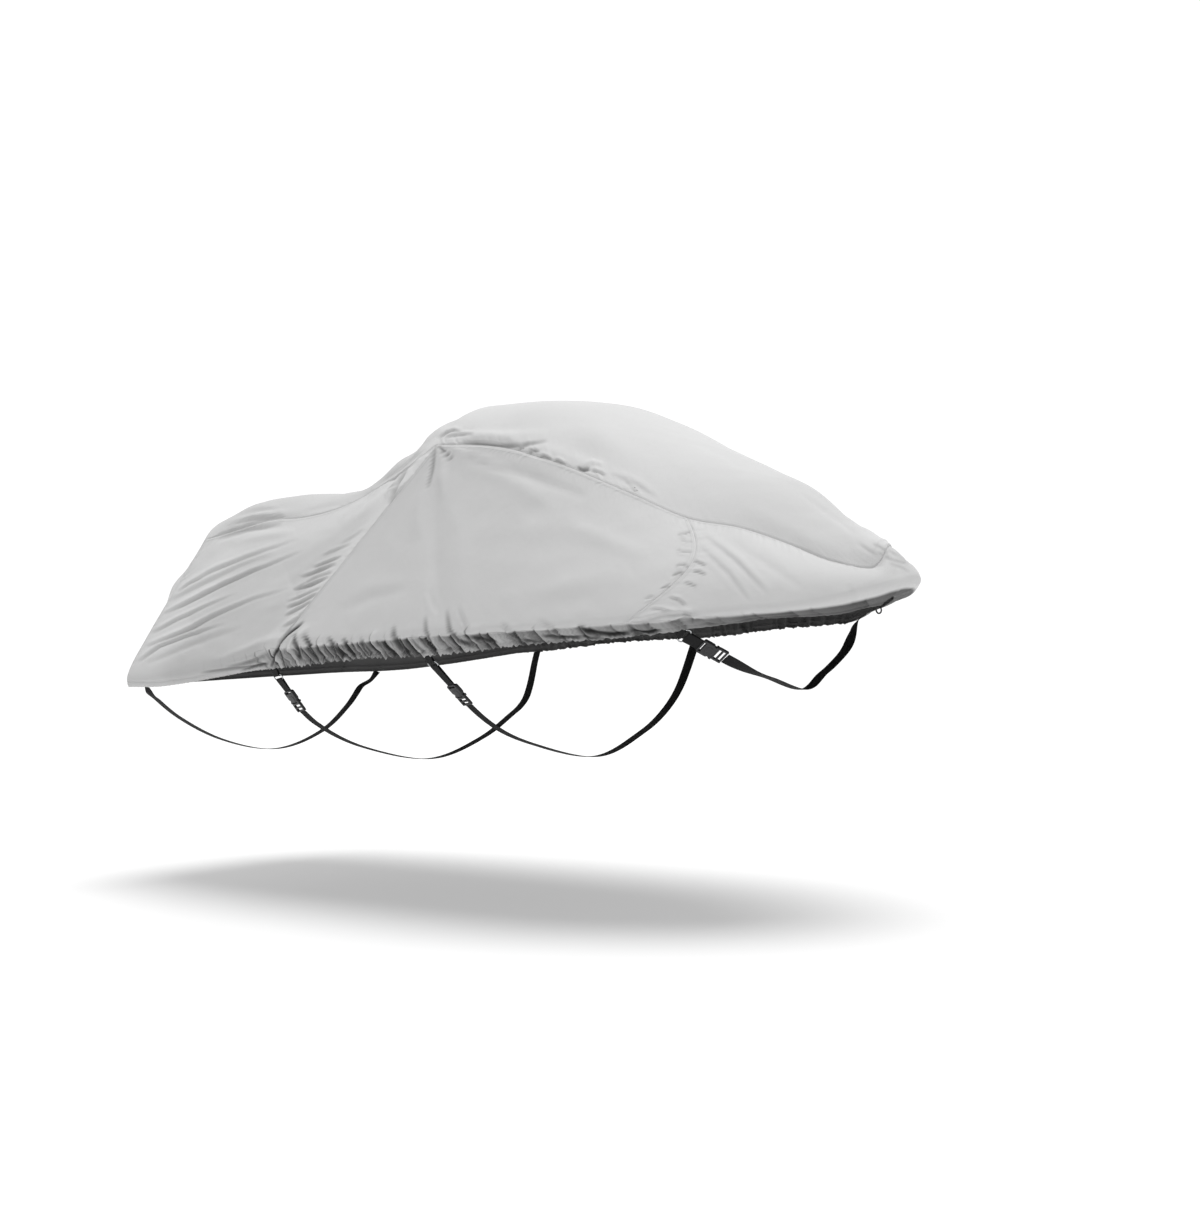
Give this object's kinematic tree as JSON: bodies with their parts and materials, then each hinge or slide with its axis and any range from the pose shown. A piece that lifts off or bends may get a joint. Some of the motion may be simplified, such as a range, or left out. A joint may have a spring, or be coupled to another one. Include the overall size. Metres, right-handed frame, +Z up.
{
  "type": "personal watercraft cover",
  "caption": "Light grey fitted cloth cover with a humped top, pointed bow, elastic gathered hem and black under-straps with rings and buckles.",
  "frame": {"origin": "on the centre line, just under the crown of the top panel, where the covered thing holds the cloth up", "axes": "+X towards the nose along the cover's length, +Y towards port, +Z up"},
  "size_m": [3.2889, 1.2068, 1.1425],
  "materials": {
    "cover_cloth": "matt woven polyester, light grey",
    "webbing": "black woven strap",
    "buckle": "black moulded, satin",
    "ring_steel": "plated wire",
    "nose_rubber": "black, matt"
  },
  "bodies": {
    "root": {"centre_panel": "cover_cloth", "rear_side_starboard": "cover_cloth", "mid_side_starboard": "cover_cloth", "bow_panel": "cover_cloth", "mid_side_port": "cover_cloth", "rear_side_port": "cover_cloth", "strap_tail": "webbing", "strap_rear_tab": "webbing", "strap_rear_ring": "ring_steel", "strap_rear_upper": "webbing", "strap_rear_socket": "buckle", "strap_rear_plug": "buckle", "strap_rear_sling": "webbing", "strap_mid_tab": "webbing", "strap_mid_ring": "ring_steel", "strap_mid_upper": "webbing", "strap_mid_socket": "buckle", "strap_mid_plug": "buckle", "strap_mid_sling": "webbing", "strap_front_tab": "webbing", "strap_front_ring": "ring_steel", "strap_front_upper": "webbing", "strap_front_socket": "buckle", "strap_front_plug": "buckle", "strap_front_sling": "webbing", "nose_ring": "nose_rubber"}
  },
  "joints": []
}
